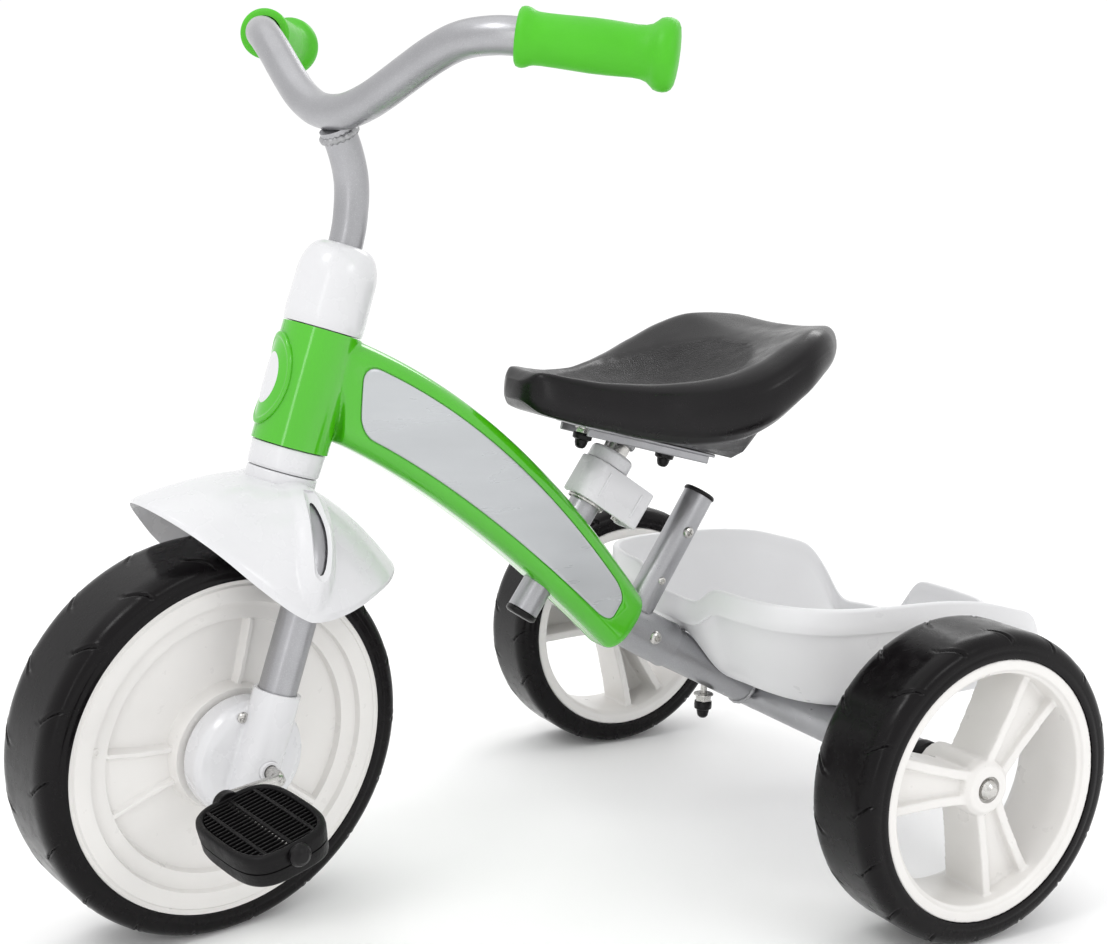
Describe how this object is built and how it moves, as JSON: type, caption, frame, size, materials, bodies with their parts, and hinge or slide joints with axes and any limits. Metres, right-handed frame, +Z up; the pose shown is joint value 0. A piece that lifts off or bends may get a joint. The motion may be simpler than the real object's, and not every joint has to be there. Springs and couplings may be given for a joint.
{
  "type": "children's tricycle",
  "caption": "Children's pedal tricycle: bent tube frame with moulded covers, steered front wheel with direct cranks, two free rear wheels, height-adjustable saddle and a rear tray.",
  "frame": {"origin": "on the floor under the middle of the tricycle's bounding box", "axes": "+X forward, towards the front wheel; +Y to the rider's left; +Z up. The steering is shown turned 11.6 degrees to the left"},
  "size_m": [0.7494, 0.5002, 0.5899],
  "materials": {
    "silver_paint": "silver powder coat, satin",
    "zinc_steel": "bright zinc plate",
    "green_plastic": "gloss moulding",
    "green_rubber": "soft satin grip",
    "white_plastic": "semi-gloss moulding",
    "rim_plastic": "satin moulding",
    "grey_panel": "satin moulding",
    "black_plastic": "satin moulding",
    "black_foam_tyre": "moulded foam with a gloss skin"
  },
  "bodies": {
    "frame": {"head_tube": "silver_paint", "head_bush_lower": "black_plastic", "head_bush_upper": "black_plastic", "spine_tube": "silver_paint", "spine_sleeve": "silver_paint", "sleeve_screw": "zinc_steel", "rear_axle_tube": "silver_paint", "rear_axle_rod": "zinc_steel", "rear_axle_plug_left": "black_plastic", "rear_axle_plug_right": "black_plastic", "push_bar_socket": "silver_paint", "push_bar_cap": "black_plastic", "frame_cover_left": "green_plastic", "frame_cover_right": "green_plastic", "side_panel_left": "grey_panel", "side_panel_right": "grey_panel", "head_badge": "green_plastic", "seat_tube": "silver_paint", "seat_tube_plug": "black_plastic", "clamp_ring": "zinc_steel", "clamp_pin": "zinc_steel", "seat_collar": "white_plastic", "basket": "white_plastic", "basket_bolt": "zinc_steel", "basket_nut": "zinc_steel", "axle_nut_left": "zinc_steel", "axle_nut_right": "zinc_steel"},
    "steering": {"steerer_tube": "silver_paint", "lower_collar": "white_plastic", "steering_cap": "white_plastic", "handlebar_stem": "silver_paint", "handlebar_tube": "silver_paint", "grip_left": "green_rubber", "grip_right": "green_rubber", "fork_leg_left": "silver_paint", "fork_leg_right": "silver_paint", "mudguard": "white_plastic", "hub_housing_left": "white_plastic", "hub_housing_right": "white_plastic", "axle_bush_left": "black_plastic", "axle_bush_right": "black_plastic"},
    "front_wheel": {"front_rim": "rim_plastic", "front_tyre": "black_foam_tyre", "crank_rod": "zinc_steel", "pedal_nut_left": "zinc_steel", "pedal_nut_right": "zinc_steel"},
    "pedal_left": {"pedal_left": "black_plastic"},
    "pedal_right": {"pedal_right": "black_plastic"},
    "rear_wheel_left": {"rear_rim_left": "rim_plastic", "rear_tyre_left": "black_foam_tyre"},
    "rear_wheel_right": {"rear_rim_right": "rim_plastic", "rear_tyre_right": "black_foam_tyre"},
    "seat": {"saddle": "black_plastic", "saddle_plate": "silver_paint", "seat_post": "silver_paint", "saddle_bolt_front": "zinc_steel", "saddle_bolt_rear": "zinc_steel", "saddle_bolt_cap_front": "black_plastic", "saddle_bolt_cap_rear": "black_plastic"},
    "seat_clamp": {"clamp_lever": "white_plastic"}
  },
  "joints": [
    {"name": "steering", "type": "hinge", "parent": "frame", "child": "steering", "pos_m": [0.2498, 0, 0.12524], "axis": [-0.2756, 0, 0.9613], "range_deg": [-56.6, 33.4]},
    {"name": "front_axle", "type": "hinge", "parent": "steering", "child": "front_wheel", "pos_m": [0.2498, 0, 0.12524], "axis": [-0.1933, 0.9796, -0.0554], "continuous": true},
    {"name": "pedal_left_spin", "type": "hinge", "parent": "front_wheel", "child": "pedal_left", "pos_m": [0.26473, 0.13501, 0.11389], "axis": [-0.1933, 0.9796, -0.0554], "continuous": true},
    {"name": "pedal_right_spin", "type": "hinge", "parent": "front_wheel", "child": "pedal_right", "pos_m": [0.23486, -0.13501, 0.13659], "axis": [-0.1933, 0.9796, -0.0554], "continuous": true},
    {"name": "rear_axle_left", "type": "hinge", "parent": "frame", "child": "rear_wheel_left", "pos_m": [-0.1832, 0.22, 0.104], "axis": [0, 1, 0], "continuous": true},
    {"name": "rear_axle_right", "type": "hinge", "parent": "frame", "child": "rear_wheel_right", "pos_m": [-0.1832, -0.22, 0.104], "axis": [0, 1, 0], "continuous": true},
    {"name": "seat_height", "type": "slide", "parent": "frame", "child": "seat", "axis": [-0.544, 0, 0.8391], "range_m": [0, 0.04]},
    {"name": "seat_clamp_lever", "type": "hinge", "parent": "frame", "child": "seat_clamp", "pos_m": [-0.04763, -0.003, 0.2422], "axis": [-0.544, 0, 0.8391], "range_deg": [0, 100]}
  ]
}
